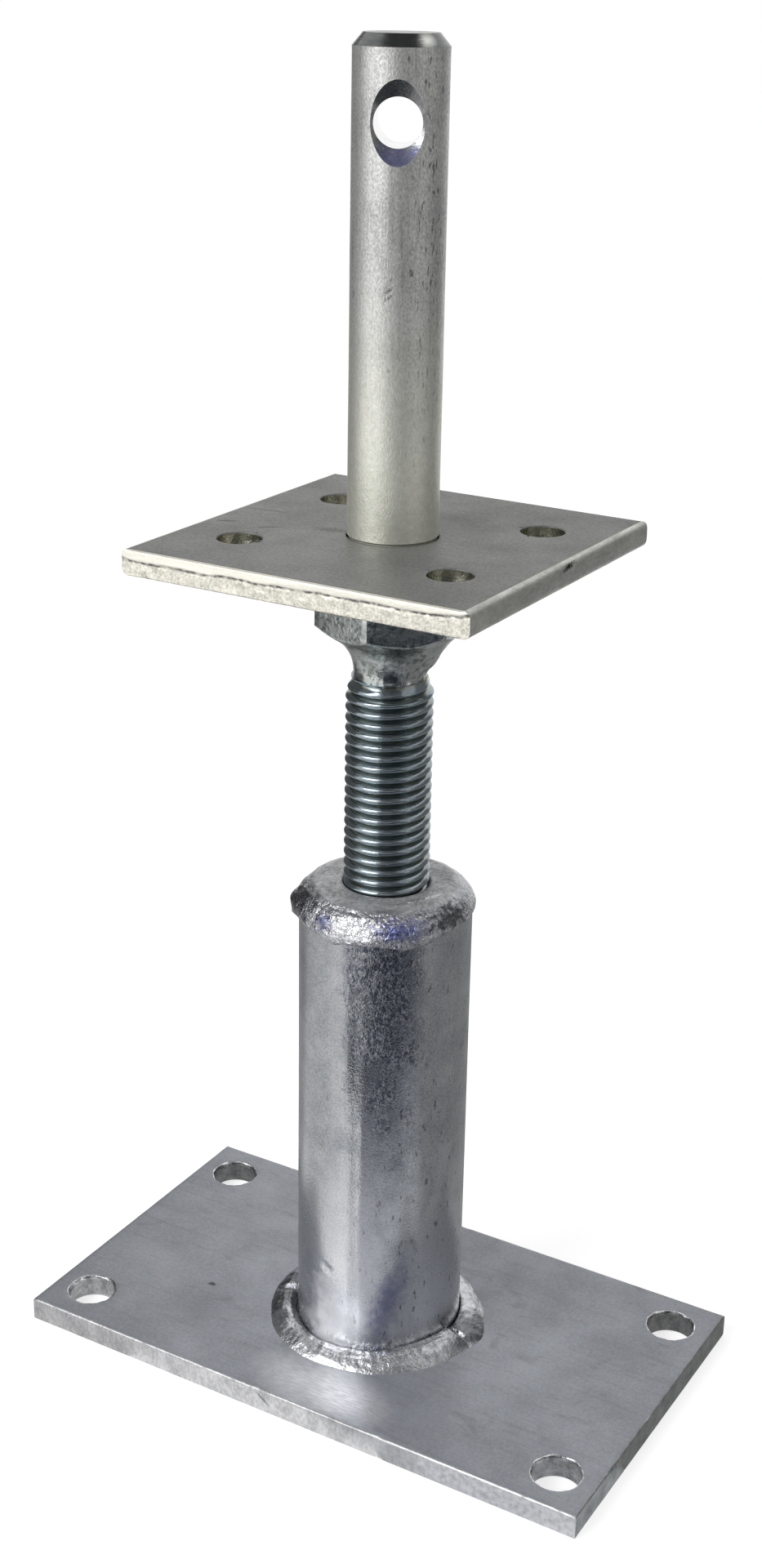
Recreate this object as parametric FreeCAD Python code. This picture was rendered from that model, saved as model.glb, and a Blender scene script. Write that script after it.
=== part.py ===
import FreeCAD, Part
import math
import os

# Adjustable post base: a base plate with a welded sleeve, a spindle that screws into the sleeve's bush,
# and a head of plate and dowel pin that turns on the spindle's spigot and carries the post.
# Millimetres, +Z up. The origin is on the spindle's axis, at the underside of the base plate.

# Base plate
BASE_LENGTH = 180.0
BASE_WIDTH = 102.0
BASE_THICKNESS = 7.0
BASE_HOLE_DIAMETER = 14.0
BASE_HOLE_FROM_END = 12.0
BASE_HOLE_FROM_SIDE = 13.0
BASE_EDGE_ROUND = 0.5

# Sleeve tube and its fillet weld to the base plate
TUBE_DIAMETER = 48.3
TUBE_WALL = 3.2
TUBE_LENGTH = 135.0
BASE_WELD_REACH = 8.0
BASE_WELD_HEIGHT = 3.8
BASE_WELD_CROWN = 0.9

# Tapped bush in the sleeve's mouth and the bead that joins it to the tube's rim
BUSH_LENGTH = 24.0
BUSH_STAND = 5.0
BUSH_FIT_GAP = 0.1
BUSH_MOUTH_CHAMFER = 0.6
BUSH_WELD_LAP = 4.0
BUSH_WELD_BULGE = 1.2
BUSH_WELD_LAP_CROWN = 0.3

# Spindle thread, metric coarse form
THREAD_DIAMETER = 23.8
THREAD_DEPTH = 1.75
THREAD_PITCH = 3.0
THREAD_CREST_WIDTH = 0.45
THREAD_FLANK_ANGLE = 30.0
THREAD_CLEARANCE = 0.2
THREAD_END_CHAMFER = 2.4
THREAD_RIDGE_SINK = 0.4
THREAD_EXPOSED = 59.5
SPINDLE_FOOT_GAP = 60.0

# Spindle neck, flare, hexagon and spigot
NECK_DIAMETER = 19.6
NECK_LENGTH = 1.0
FLARE_ROUND = 12.25
FLARE_ANGLE = 33.0
HEX_SIDES = 6
HEX_ACROSS_FLATS = 36.0
HEX_HEIGHT = 16.6
HEX_TURN = -17.4
SPIGOT_DIAMETER = 14.0
SPIGOT_LENGTH = 24.0
SPIGOT_CHAMFER = 1.0
SPIGOT_RUNNING_GAP = 0.05
SPIGOT_END_GAP = 1.0
HEAD_SEAT_GAP = 0.1

# Top plate
TOP_LENGTH = 100.0
TOP_WIDTH = 100.0
TOP_THICKNESS = 7.0
TOP_HOLE_DIAMETER = 12.0
TOP_HOLE_FROM_END = 19.0
TOP_HOLE_FROM_SIDE = 25.0
TOP_EDGE_ROUND = 0.9

# Dowel pin and the groove weld that holds it in the plate
PIN_DIAMETER = 24.0
PIN_SHANK_DIAMETER = 23.0
PIN_STAND = 124.0
PIN_CHAMFER_INSET = 2.6
PIN_CHAMFER_LENGTH = 3.1
PIN_FIT_GAP = 0.1
PIN_WELD_SIZE = 3.5
CROSS_HOLE_DIAMETER = 12.0
CROSS_HOLE_BELOW_TOP = 20.3
CROSS_HOLE_TURN = -63.0
COUNTERSINK_DIAMETER = 20.2
COUNTERSINK_ANGLE = 118.0

# Room that a cutting tool keeps beyond the faces it cuts
CUT_PAST = 1.0

# Heights that follow from the sizes above
BASE_TOP = BASE_THICKNESS
TUBE_TOP = BASE_TOP + TUBE_LENGTH
BUSH_TOP = TUBE_TOP + BUSH_STAND
BUSH_BOTTOM = BUSH_TOP - BUSH_LENGTH
SPINDLE_FOOT = BASE_TOP + SPINDLE_FOOT_GAP
THREAD_TOP = BUSH_TOP + THREAD_EXPOSED
NECK_TOP = THREAD_TOP + NECK_LENGTH

TUBE_RADIUS = TUBE_DIAMETER / 2
TUBE_BORE_RADIUS = TUBE_RADIUS - TUBE_WALL
BUSH_RADIUS = TUBE_BORE_RADIUS - BUSH_FIT_GAP
CREST_RADIUS = THREAD_DIAMETER / 2
ROOT_RADIUS = CREST_RADIUS - THREAD_DEPTH
NECK_RADIUS = NECK_DIAMETER / 2
HEX_CORNER_RADIUS = HEX_ACROSS_FLATS / 2 / math.cos(math.pi / HEX_SIDES)

# The flare leaves the neck upright on an arc and runs out to the hexagon's corners as a cone.
FLARE_TURN = math.radians(90 - FLARE_ANGLE)
FLARE_ARC_RADIUS = NECK_RADIUS + FLARE_ROUND * (1 - math.cos(FLARE_TURN))
FLARE_ARC_TOP = NECK_TOP + FLARE_ROUND * math.sin(FLARE_TURN)
FLARE_CONE_RISE = (HEX_CORNER_RADIUS - FLARE_ARC_RADIUS) * math.tan(math.radians(FLARE_ANGLE))
HEX_CORNER_BOTTOM = FLARE_ARC_TOP + FLARE_CONE_RISE
HEX_TOP = HEX_CORNER_BOTTOM + HEX_HEIGHT

PLATE_BOTTOM = HEX_TOP + HEAD_SEAT_GAP
PLATE_TOP = PLATE_BOTTOM + TOP_THICKNESS
PIN_TOP = PLATE_TOP + PIN_STAND
PIN_RADIUS = PIN_DIAMETER / 2
PIN_SHANK_RADIUS = PIN_SHANK_DIAMETER / 2
PIN_FOOT_TOP = PLATE_TOP + PIN_RADIUS - PIN_SHANK_RADIUS
PIN_HOLE_RADIUS = PIN_RADIUS + PIN_FIT_GAP
CROSS_HOLE_HEIGHT = PIN_TOP - CROSS_HOLE_BELOW_TOP

AXIS = FreeCAD.Vector(0, 0, 1)
CENTRE = FreeCAD.Vector(0, 0, 0)


def point(radius, height):
    """A point of a section in the XZ half plane."""
    return FreeCAD.Vector(radius, 0, height)


def cylinder(radius, low, high):
    """An upright cylinder on the spindle's axis between two heights."""
    return Part.makeCylinder(radius, high - low, point(0, low))


def turned(edges):
    """A closed section of edges in the XZ half plane, turned about the spindle's axis."""
    section = Part.Face(Part.Wire(Part.__sortEdges__(edges)))
    return section.revolve(CENTRE, AXIS, 360)


def straight_edges(points):
    """Line edges through points in order, left open at the end."""
    edges = []
    for start, end in zip(points, points[1:]):
        edges.append(Part.makeLine(start, end))
    return edges


def turned_polygon(points):
    """A straight-sided section, closed back to its first point and turned about the spindle's axis."""
    return turned(straight_edges(points + points[:1]))


def crowned_edge(start, end, crown):
    """An arc from start to end that stands proud of their straight line by the crown, away from the axis."""
    along = end - start
    outward = FreeCAD.Vector(-along.z, 0, along.x)
    if outward.x < 0:
        outward = outward.negative()
    middle = (start + end) * 0.5 + outward.normalize() * crown
    return Part.Arc(start, middle, end).toShape()


def corners(spacing_x, spacing_y):
    """The four places of a rectangular hole pattern centred on the axis."""
    places = []
    for side_x in (-1, 1):
        for side_y in (-1, 1):
            places.append((side_x * spacing_x / 2, side_y * spacing_y / 2))
    return places


def rounded_plate(length, width, low, high, edge_round):
    """A flat plate centred on the axis with its outer edges rounded over on both faces."""
    plate = Part.makeBox(length, width, high - low, FreeCAD.Vector(-length / 2, -width / 2, low))
    rims = []
    for edge in plate.Edges:
        if edge.BoundBox.ZLength < edge_round:
            rims.append(edge)
    return plate.makeFillet(edge_round, rims)


def drilled(plate, places, diameter, low, high):
    """The plate with a round hole through it at each place."""
    for x, y in places:
        start = FreeCAD.Vector(x, y, low - CUT_PAST)
        plate = plate.cut(Part.makeCylinder(diameter / 2, high - low + 2 * CUT_PAST, start))
    return plate


def thread_ridge(root, crest, crest_width, first, last):
    """The helical ridge of the thread from one height to another, sunk into its core so that the two fuse."""
    flank = math.tan(math.radians(THREAD_FLANK_ANGLE))
    sunk_root = root - THREAD_RIDGE_SINK
    sunk_width = crest_width + 2 * (crest - sunk_root) * flank
    section = [
        point(sunk_root, -sunk_width / 2),
        point(crest, -crest_width / 2),
        point(crest, crest_width / 2),
        point(sunk_root, sunk_width / 2),
    ]
    profile = Part.makePolygon(section + section[:1])
    taper = 0
    helix = Part.makeLongHelix(THREAD_PITCH, last - first, root, taper)
    ridge = Part.Wire(helix.Edges).makePipeShell([profile], True, True)
    ridge.translate(point(0, first))
    return ridge


def threaded_rod(clearance, low, high):
    """A threaded rod between two heights, past its faces by a turn at each end, grown by a clearance.

    Every rod's ridge starts a whole number of turns from the spindle's foot, so that rod and bush mesh.
    """
    turns_up = math.floor((low - SPINDLE_FOOT) / THREAD_PITCH) - 1
    first = SPINDLE_FOOT + turns_up * THREAD_PITCH
    last = high + THREAD_PITCH
    root = ROOT_RADIUS + clearance
    crest = CREST_RADIUS + clearance
    crest_width = THREAD_CREST_WIDTH + clearance
    core = cylinder(root, first - THREAD_PITCH, last + THREAD_PITCH)
    return core.fuse(thread_ridge(root, crest, crest_width, first, last))


def base_plate():
    spacing_x = BASE_LENGTH - 2 * BASE_HOLE_FROM_END
    spacing_y = BASE_WIDTH - 2 * BASE_HOLE_FROM_SIDE
    plate = rounded_plate(BASE_LENGTH, BASE_WIDTH, 0, BASE_TOP, BASE_EDGE_ROUND)
    return drilled(plate, corners(spacing_x, spacing_y), BASE_HOLE_DIAMETER, 0, BASE_TOP)


def sleeve_tube():
    outside = cylinder(TUBE_RADIUS, BASE_TOP, TUBE_TOP)
    return outside.cut(cylinder(TUBE_BORE_RADIUS, BASE_TOP - CUT_PAST, TUBE_TOP + CUT_PAST))


def base_weld():
    heel = point(TUBE_RADIUS, BASE_TOP)
    toe = point(TUBE_RADIUS + BASE_WELD_REACH, BASE_TOP)
    head = point(TUBE_RADIUS, BASE_TOP + BASE_WELD_HEIGHT)
    return turned(straight_edges([head, heel, toe]) + [crowned_edge(toe, head, BASE_WELD_CROWN)])


def threaded_bush():
    disc = cylinder(BUSH_RADIUS, BUSH_BOTTOM, BUSH_TOP)
    mouth_bottom = CREST_RADIUS + THREAD_CLEARANCE
    mouth = turned_polygon([
        point(0, BUSH_TOP - BUSH_MOUTH_CHAMFER),
        point(mouth_bottom, BUSH_TOP - BUSH_MOUTH_CHAMFER),
        point(mouth_bottom + BUSH_MOUTH_CHAMFER, BUSH_TOP),
        point(mouth_bottom + BUSH_MOUTH_CHAMFER, BUSH_TOP + CUT_PAST),
        point(0, BUSH_TOP + CUT_PAST),
    ])
    return disc.cut(threaded_rod(THREAD_CLEARANCE, BUSH_BOTTOM, BUSH_TOP)).cut(mouth)


def bush_weld():
    inner_foot = point(BUSH_RADIUS, TUBE_TOP)
    inner_top = point(BUSH_RADIUS, BUSH_TOP)
    shoulder = point(TUBE_RADIUS + BUSH_WELD_BULGE, TUBE_TOP)
    lap_end = point(TUBE_RADIUS, TUBE_TOP - BUSH_WELD_LAP)
    rim = point(TUBE_RADIUS, TUBE_TOP)
    edges = straight_edges([lap_end, rim, inner_foot, inner_top])
    edges.append(crowned_edge(shoulder, inner_top, BUSH_WELD_BULGE))
    edges.append(crowned_edge(lap_end, shoulder, BUSH_WELD_LAP_CROWN))
    return turned(edges)


def spindle_thread():
    """The spindle's threaded length, with a 45 degree chamfer down to below the root at both ends."""
    inner = CREST_RADIUS - THREAD_END_CHAMFER
    outer = CREST_RADIUS + CUT_PAST
    rise = THREAD_END_CHAMFER + CUT_PAST
    limits = turned_polygon([
        point(0, SPINDLE_FOOT),
        point(inner, SPINDLE_FOOT),
        point(outer, SPINDLE_FOOT + rise),
        point(outer, THREAD_TOP - rise),
        point(inner, THREAD_TOP),
        point(0, THREAD_TOP),
    ])
    return threaded_rod(0, SPINDLE_FOOT, THREAD_TOP).common(limits)


def spindle_head():
    """The neck, flare and hexagon above the thread."""
    neck_bottom = point(NECK_RADIUS, THREAD_TOP - THREAD_DEPTH)
    arc_start = point(NECK_RADIUS, NECK_TOP)
    half_turn = FLARE_TURN / 2
    arc_middle = point(
        NECK_RADIUS + FLARE_ROUND * (1 - math.cos(half_turn)),
        NECK_TOP + FLARE_ROUND * math.sin(half_turn),
    )
    arc_end = point(FLARE_ARC_RADIUS, FLARE_ARC_TOP)
    corner_bottom = point(HEX_CORNER_RADIUS, HEX_CORNER_BOTTOM)
    corner_top = point(HEX_CORNER_RADIUS, HEX_TOP)
    edges = straight_edges([point(0, THREAD_TOP - THREAD_DEPTH), neck_bottom, arc_start])
    edges.append(Part.Arc(arc_start, arc_middle, arc_end).toShape())
    edges += straight_edges([arc_end, corner_bottom, corner_top, point(0, HEX_TOP)])
    edges += straight_edges([point(0, HEX_TOP), point(0, THREAD_TOP - THREAD_DEPTH)])
    blank = turned(edges)
    hexagon = []
    for corner in range(HEX_SIDES + 1):
        angle = math.radians(HEX_TURN) + corner * math.tau / HEX_SIDES
        x = HEX_CORNER_RADIUS * math.cos(angle)
        y = HEX_CORNER_RADIUS * math.sin(angle)
        hexagon.append(FreeCAD.Vector(x, y, THREAD_TOP - THREAD_DEPTH))
    flats = Part.Face(Part.makePolygon(hexagon)).extrude(AXIS * (HEX_TOP - THREAD_TOP + THREAD_DEPTH))
    return blank.common(flats)


def spindle():
    radius = SPIGOT_DIAMETER / 2
    spigot_top = HEX_TOP + SPIGOT_LENGTH
    spigot = turned_polygon([
        point(0, HEX_TOP - CUT_PAST),
        point(radius, HEX_TOP - CUT_PAST),
        point(radius, spigot_top - SPIGOT_CHAMFER),
        point(radius - SPIGOT_CHAMFER, spigot_top),
        point(0, spigot_top),
    ])
    return spindle_thread().fuse(spindle_head()).fuse(spigot).removeSplitter()


def top_plate():
    spacing_x = TOP_LENGTH - 2 * TOP_HOLE_FROM_END
    spacing_y = TOP_WIDTH - 2 * TOP_HOLE_FROM_SIDE
    plate = rounded_plate(TOP_LENGTH, TOP_WIDTH, PLATE_BOTTOM, PLATE_TOP, TOP_EDGE_ROUND)
    plate = drilled(plate, corners(spacing_x, spacing_y), TOP_HOLE_DIAMETER, PLATE_BOTTOM, PLATE_TOP)
    pin_hole = cylinder(PIN_HOLE_RADIUS, PLATE_BOTTOM - CUT_PAST, PLATE_TOP + CUT_PAST)
    return plate.cut(pin_hole).cut(weld_groove(0))


def weld_groove(inner_radius):
    """The bevelled groove round the pin on the plate's underside, as a solid outside an inner radius."""
    return turned_polygon([
        point(inner_radius, PLATE_BOTTOM),
        point(PIN_HOLE_RADIUS + PIN_WELD_SIZE, PLATE_BOTTOM),
        point(PIN_HOLE_RADIUS, PLATE_BOTTOM + PIN_WELD_SIZE),
        point(inner_radius, PLATE_BOTTOM + PIN_WELD_SIZE),
    ])


def pin_weld():
    return weld_groove(PIN_SHANK_RADIUS)


def cross_hole():
    """The pin's cross hole with a drill-point countersink at each mouth, lying along X through the origin."""
    hole_radius = CROSS_HOLE_DIAMETER / 2
    sink_radius = COUNTERSINK_DIAMETER / 2
    slope = math.tan(math.radians(COUNTERSINK_ANGLE / 2))
    sink_depth = (sink_radius - hole_radius) / slope
    mouth = PIN_RADIUS + CUT_PAST
    mouth_radius = sink_radius + CUT_PAST * slope
    profile = turned_polygon([
        point(0, -mouth),
        point(mouth_radius, -mouth),
        point(hole_radius, sink_depth - PIN_RADIUS),
        point(hole_radius, PIN_RADIUS - sink_depth),
        point(mouth_radius, mouth),
        point(0, mouth),
    ])
    profile.rotate(CENTRE, FreeCAD.Vector(0, 1, 0), 90)
    return profile


def dowel_pin():
    body = turned_polygon([
        point(0, PLATE_BOTTOM),
        point(PIN_SHANK_RADIUS, PLATE_BOTTOM),
        point(PIN_SHANK_RADIUS, PLATE_TOP),
        point(PIN_RADIUS, PIN_FOOT_TOP),
        point(PIN_RADIUS, PIN_TOP - PIN_CHAMFER_LENGTH),
        point(PIN_RADIUS - PIN_CHAMFER_INSET, PIN_TOP),
        point(0, PIN_TOP),
    ])
    bore_top = HEX_TOP + SPIGOT_LENGTH + SPIGOT_END_GAP
    bore = cylinder(SPIGOT_DIAMETER / 2 + SPIGOT_RUNNING_GAP, PLATE_BOTTOM - CUT_PAST, bore_top)
    hole = cross_hole()
    hole.rotate(CENTRE, AXIS, CROSS_HOLE_TURN)
    hole.translate(point(0, CROSS_HOLE_HEIGHT))
    return body.cut(bore).cut(hole)


PIECES = (
    base_plate,
    sleeve_tube,
    base_weld,
    threaded_bush,
    bush_weld,
    spindle,
    top_plate,
    dowel_pin,
    pin_weld,
)

os.makedirs("parts", exist_ok=True)
for piece in PIECES:
    piece().exportStep("parts/" + piece.__name__ + ".step")
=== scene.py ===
import math

import bmesh
import bpy
from mathutils import Matrix, Vector, noise


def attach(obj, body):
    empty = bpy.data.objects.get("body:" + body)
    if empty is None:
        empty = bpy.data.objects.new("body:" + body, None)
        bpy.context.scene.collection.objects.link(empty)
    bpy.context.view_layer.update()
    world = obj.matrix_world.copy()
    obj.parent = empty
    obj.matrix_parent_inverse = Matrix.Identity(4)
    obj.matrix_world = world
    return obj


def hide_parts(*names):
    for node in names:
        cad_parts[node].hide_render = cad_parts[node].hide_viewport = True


# Looks of an adjustable post base: a galvanised base plate with a welded sleeve, and a zinc plated
# spindle, top plate and dowel pin. Pieces are modelled in millimetres and finished in metres.

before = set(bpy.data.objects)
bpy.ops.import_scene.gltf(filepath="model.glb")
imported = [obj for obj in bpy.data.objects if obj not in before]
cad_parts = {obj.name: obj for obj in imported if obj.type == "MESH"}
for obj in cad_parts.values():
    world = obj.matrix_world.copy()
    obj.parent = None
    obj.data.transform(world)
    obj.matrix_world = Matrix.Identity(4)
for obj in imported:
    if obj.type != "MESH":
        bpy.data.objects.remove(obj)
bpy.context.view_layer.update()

MM = 0.001

# Sizes are in millimetres. A plain turn is in degrees from +X, an arc is the length of one degree round
# a wall, and a chip is its place along X, its half width and its depth.

# Base plate, sleeve and beads
BASE_LENGTH = 180.0
BASE_WIDTH = 102.0
BASE_TOP = 7.0
BASE_EDGE_ROUND = 0.5
ANCHOR_RADIUS = 7.0
ANCHOR_X = 78.0
ANCHOR_Y = 38.0
FRONT_CHIPS = ((-10.0, 1.8, 0.7), (29.0, 1.4, 0.5))
TUBE_RADIUS = 24.15
TUBE_BORE = 20.95
TUBE_TOP = 142.0
TUBE_ARC = 0.42
TUBE_SEAM_TURN = -78
TUBE_NICK_TURN = -98.4
TUBE_NICK_HEIGHT = 33.3
TUBE_MARKED_SIDE = (0.865, 0.502, 0)
BASE_BEAD_REACH = 7.85
BUSH_TOP = 147.0
BUSH_BOTTOM = 123.0
BUSH_BORE = 12.05

# Spindle
THREAD_CREST = 11.9
THREAD_ROOT = 10.15
THREAD_PITCH = 3.0
SPINDLE_FOOT = 67.0
THREAD_TOP = 206.5
NECK_RADIUS = 9.8
NECK_TOP = 207.5
FLARE_ROUND = 12.25
FLARE_TURN = math.radians(57)
FLARE_HEAVY_TURN = 25
HEX_ACROSS_FLATS = 36.0
HEX_CORNER = HEX_ACROSS_FLATS / math.sqrt(3)
HEX_CORNER_BOTTOM = 221.28
HEX_TOP = 237.88
HEX_TURN = math.radians(-17.4)
SPIGOT_RADIUS = 7.0
SPIGOT_TOP = 261.88

# Top plate and dowel pin
PLATE_SIDE = 100.0
PLATE_BOTTOM = 237.98
PLATE_TOP = 244.98
SCREW_HOLE_RADIUS = 6.0
SCREW_X = 31.0
SCREW_Y = 25.0
SCREW_HOLE_LIP = 1.3
SHEARED_ROUND = 0.6
ROLLED_ROUND = 1.7
ROLLED_NICK_Y = 2.0
ROLLED_NICK_DEPTH = 1.4
PIN_RADIUS = 12.0
PIN_SHANK = 11.5
PIN_HOLE = 12.1
PIN_ARC = 0.21
PIN_NICK_TURN = -70
PIN_NICK_HEIGHT = 309
PIN_TOP = 368.98
PIN_CHAMFER_INSET = 2.6
PIN_CHAMFER_LENGTH = 3.1
PIN_BORE = 7.05
PIN_BORE_TOP = 262.88
CROSS_HOLE_RADIUS = 6.0
CROSS_HOLE_HEIGHT = 348.68
CROSS_HOLE_TURN = math.radians(-63)
COUNTERSINK_RADIUS = 10.1
COUNTERSINK_SLOPE = math.tan(math.radians(59))

# The photograph's camera: pixels, degrees, metres, and millimetres on the sensor
IMAGE_WIDTH = 933
IMAGE_HEIGHT = 1920
IMAGE_MIDDLE = (476.381, 897.462)
FOCAL_PIXELS = 2577.493
SENSOR_WIDTH = 36.0
CAMERA_AZIMUTH = 30.162
CAMERA_ELEVATION = 20.276
CAMERA_ROLL = 1.049
CAMERA_AIM = 0.19
CAMERA_DISTANCE = 0.565981

# Studio levels
AMBIENT_LEVEL = 0.45
FLOOR_TONE = 0.8
FLOOR_GLOW = 0.64
FLOOR_DROP = 0.0002
LAMP_AIM = 0.18
DARK_TONE = (0.035, 0.045, 0.065, 1.0)


# Shaping helpers

def lumps(place, size, seed=0.0):
    """Smooth noise from -1 to 1 with lumps of about the given size."""
    return noise.noise(place / size + Vector((seed, 2 * seed, -seed)))


def eased(low, high, value):
    """0 below low, 1 above high, and a smooth rise between them."""
    share = min(1.0, max(0.0, (value - low) / (high - low)))
    return share * share * (3 - 2 * share)


def hump(value, middle, half_width):
    """A smooth bump of height 1 about a middle."""
    return math.exp(-((value - middle) / half_width) ** 2)


def degrees_from(turn, middle):
    """How far a direction lies from a middle direction, from -180 to 180 degrees."""
    return (turn - middle + 180) % 360 - 180


def turn_of(place):
    """The direction of a place from the spindle's axis, in degrees from +X; -90 is the front."""
    return math.degrees(math.atan2(place.y, place.x))


def bulge(turn, middle, half_width):
    """A smooth bump of height 1 about a direction, all in degrees."""
    return hump(degrees_from(turn, middle), 0, half_width)


def slanted_nick(sideways, upward, slope, half_length, half_width=0.7):
    """A narrow dent of depth 1, from how far a place lies sideways and upward of its middle."""
    along = sideways + slope * upward
    across = slope * sideways - upward
    return hump(along, 0, half_length) * hump(across, 0, half_width)


def turned(points, steps, closed=False):
    """A section of (radius, height, cuts in the stretch that follows), spun about the spindle's axis."""
    bm = bmesh.new()
    verts = [bm.verts.new((radius, 0, height)) for radius, height, cuts in points]
    ends = verts[1:] + verts[:1] if closed else verts[1:]
    stretches = [bm.edges.new(pair) for pair in zip(verts, ends)]
    for stretch, (radius, height, cuts) in zip(stretches, points):
        if cuts:
            bmesh.ops.subdivide_edges(bm, edges=[stretch], cuts=cuts)
    bmesh.ops.spin(
        bm, geom=bm.verts[:] + bm.edges[:], cent=(0, 0, 0), axis=(0, 0, 1),
        angle=math.tau, steps=steps, use_merge=True,
    )
    bmesh.ops.remove_doubles(bm, verts=bm.verts, dist=0.0005)
    return bm


def drilled_slab(length, width, low, high, spacing, holes, rows):
    """A flat slab of small quads with round holes (x, y, radius) and walls cut into rows."""
    bm = bmesh.new()
    bmesh.ops.create_grid(
        bm, x_segments=round(length / spacing), y_segments=round(width / spacing), size=0.5,
    )
    bmesh.ops.scale(bm, vec=(length, width, 1), verts=bm.verts)
    bmesh.ops.translate(bm, vec=(0, 0, high), verts=bm.verts)
    for x, y, radius in holes:
        centre = Vector((x, y, high))
        near = radius + 1.1 * spacing
        inside = {f for f in bm.faces if (f.calc_center_median() - centre).length < near}
        gap = [e for f in inside for e in f.edges if not inside.issuperset(e.link_faces)]
        bmesh.ops.delete(bm, geom=list(inside), context="FACES")
        drawn_in = bmesh.ops.extrude_edge_only(bm, edges=gap)["geom"]
        rim = [v for v in drawn_in if isinstance(v, bmesh.types.BMVert)]
        rim.sort(key=lambda v: math.atan2(v.co.y - y, v.co.x - x))
        for index, vert in enumerate(rim):
            turn = math.tau * index / len(rim) - math.pi
            vert.co = centre + Vector((math.cos(turn), math.sin(turn), 0)) * radius
    lower = bmesh.ops.extrude_face_region(bm, geom=bm.faces[:], use_keep_orig=True)["geom"]
    moved = [v for v in lower if isinstance(v, bmesh.types.BMVert)]
    bmesh.ops.translate(bm, vec=(0, 0, low - high), verts=moved)
    upright = [e for e in bm.edges if abs(e.verts[0].co.z - e.verts[1].co.z) > (high - low) / 2]
    bmesh.ops.subdivide_edges(bm, edges=upright, cuts=rows - 1, use_grid_fill=True)
    return bm


def corner_inset(depth, radius):
    """How far a rounded corner lies inside its outline at a depth below the face."""
    if depth >= radius:
        return 0.0
    return radius - math.sqrt(max(0.0, radius ** 2 - (radius - depth) ** 2))


def rounded_inset(depth, thickness, top_round, bottom_round):
    """How far a slab's edge lies inside its outline at a depth below the top."""
    return max(corner_inset(depth, top_round), corner_inset(thickness - depth, bottom_round))


def crowded_depth(share, thickness, crowding=0.8):
    """The depth of a wall row, with the rows drawn together towards both faces."""
    return thickness * (share - crowding * math.sin(math.tau * share) / math.tau)


def corner_holes(x_reach, y_reach, radius):
    """Four equal holes, one in each corner of a plate."""
    return [(x, y, radius) for x in (-x_reach, x_reach) for y in (-y_reach, y_reach)]


def mark_walls(bm, length, width, lip):
    """Numbers the walls' finishes: 1 across Y, 2 across X, and 3 in the holes below a lip."""
    bm.normal_update()
    for face in bm.faces:
        middle = face.calc_center_median()
        if abs(face.normal.z) > 0.5:
            continue
        if abs(middle.y) > width / 2 - 0.1:
            face.material_index = 1
        elif abs(middle.x) > length / 2 - 0.1:
            face.material_index = 2
        elif middle.z < lip:
            face.material_index = 3


def placed(name, bm):
    """A new object in the scene with the mesh of a bmesh, which is used up."""
    mesh = bpy.data.meshes.new(name)
    bm.to_mesh(mesh)
    bm.free()
    piece = bpy.data.objects.new(name, mesh)
    bpy.context.scene.collection.objects.link(piece)
    return piece


def finished(name, bm, body, nodes, finishes, sharp=40):
    """The piece of a millimetre bmesh, in place on its CAD body and standing for its CAD nodes."""
    bmesh.ops.recalc_face_normals(bm, faces=bm.faces)
    bmesh.ops.scale(bm, vec=(MM, MM, MM), verts=bm.verts)
    piece = placed(name, bm)
    for finish in finishes:
        piece.data.materials.append(finish)
    piece.data.shade_smooth()
    piece.data.set_sharp_from_angle(angle=math.radians(sharp))
    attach(piece, body)
    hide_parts(*nodes)
    return piece


# Finishes

def rgb(red, green, blue):
    return (red, green, blue, 1.0)


def grey(level):
    return rgb(level, level, level)


def wired(tree, kind, values, **settings):
    """A new node with its settings, and with inputs set to values or linked to other nodes' sockets."""
    node = tree.nodes.new(kind)
    for key, value in settings.items():
        setattr(node, key, value)
    for key, value in values.items():
        if isinstance(value, bpy.types.NodeSocket):
            tree.links.new(value, node.inputs[key])
        else:
            node.inputs[key].default_value = value
    return node


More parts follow.
